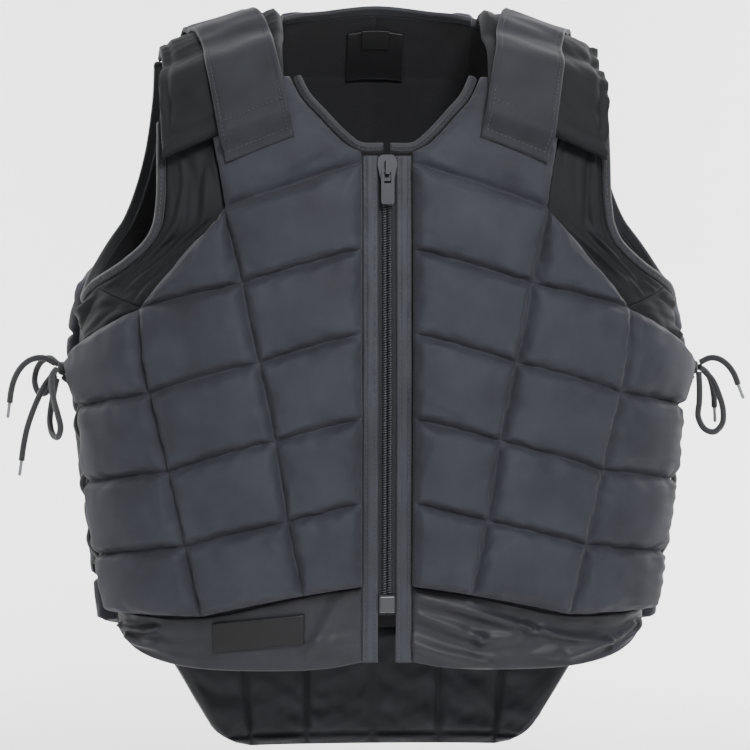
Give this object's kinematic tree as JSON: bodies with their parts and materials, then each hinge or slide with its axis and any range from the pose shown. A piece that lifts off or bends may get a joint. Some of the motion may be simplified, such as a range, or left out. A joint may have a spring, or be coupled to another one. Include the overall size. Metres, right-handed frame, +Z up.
{
  "type": "equestrian body protector",
  "caption": "Sleeveless padded riding vest with quilted foam blocks, front zip, shoulder flaps under straps, laced sides and a tail guard, in its worn form.",
  "frame": {"origin": "on the centre plane, level with the middle of the shoulders, where the vest rests on its wearer", "axes": "+Z up to the neck, -Y out of the zipped front, +X to the wearer's left"},
  "size_m": [0.5455, 0.2131, 0.5621],
  "materials": {
    "quilted_cloth": "matte nylon over foam",
    "strap_cloth": "matte nylon",
    "binding": "matte folded tape",
    "dark_cloth": "matte nylon",
    "lining_cloth": "matte mesh",
    "lace": "matte round cord",
    "zip_nylon": "satin",
    "zip_metal": "satin",
    "label_cloth": "matte woven tape",
    "aglet_plastic": "clear matte"
  },
  "bodies": {
    "vest": {"front_panel_left": "quilted_cloth", "front_panel_right": "quilted_cloth", "back_panel": "quilted_cloth", "shoulder_flap_left": "quilted_cloth", "shoulder_flap_right": "quilted_cloth", "armhole_facing_left": "strap_cloth", "armhole_facing_right": "strap_cloth", "side_gusset_left": "strap_cloth", "side_gusset_right": "strap_cloth", "placket_band_left": "strap_cloth", "placket_band_right": "strap_cloth", "shoulder_strap_left": "strap_cloth", "shoulder_strap_right": "strap_cloth", "neck_binding_left": "binding", "neck_binding_right": "binding", "neck_binding_back": "binding", "armhole_binding_left": "binding", "armhole_binding_right": "binding", "hem_skirt_left": "dark_cloth", "hem_skirt_right": "dark_cloth", "zip_tape_left": "dark_cloth", "zip_tape_right": "dark_cloth", "tail_guard": "dark_cloth", "lace_strip_front_left": "dark_cloth", "lace_strip_front_right": "dark_cloth", "lace_strip_back_left": "dark_cloth", "lace_strip_back_right": "dark_cloth", "side_panel_left": "lining_cloth", "side_panel_right": "lining_cloth", "side_lacing_left": "lace", "side_lacing_right": "lace", "lace_knot_left": "lace", "lace_knot_right": "lace", "lace_end_upper_right": "lace", "lace_end_lower_right": "lace", "lace_loop_front_right": "lace", "lace_loop_back_right": "lace", "lace_end_left": "lace", "lace_loop_left": "lace", "lace_end_short_left": "lace", "zip_teeth": "zip_nylon", "zip_bottom_box": "zip_nylon", "zip_slider": "zip_metal", "hem_patch": "label_cloth", "neck_label": "label_cloth", "size_tag": "label_cloth", "aglet_upper_right": "aglet_plastic", "aglet_lower_right": "aglet_plastic", "aglet_left": "aglet_plastic", "aglet_short_left": "aglet_plastic"},
    "zip_pull": {"zip_pull": "zip_metal"}
  },
  "joints": [
    {"name": "zip_pull_swing", "type": "hinge", "parent": "vest", "child": "zip_pull", "pos_m": [0, -0.10017, -0.09441], "axis": [-1, 0, 0], "range_deg": [0, 150]}
  ]
}
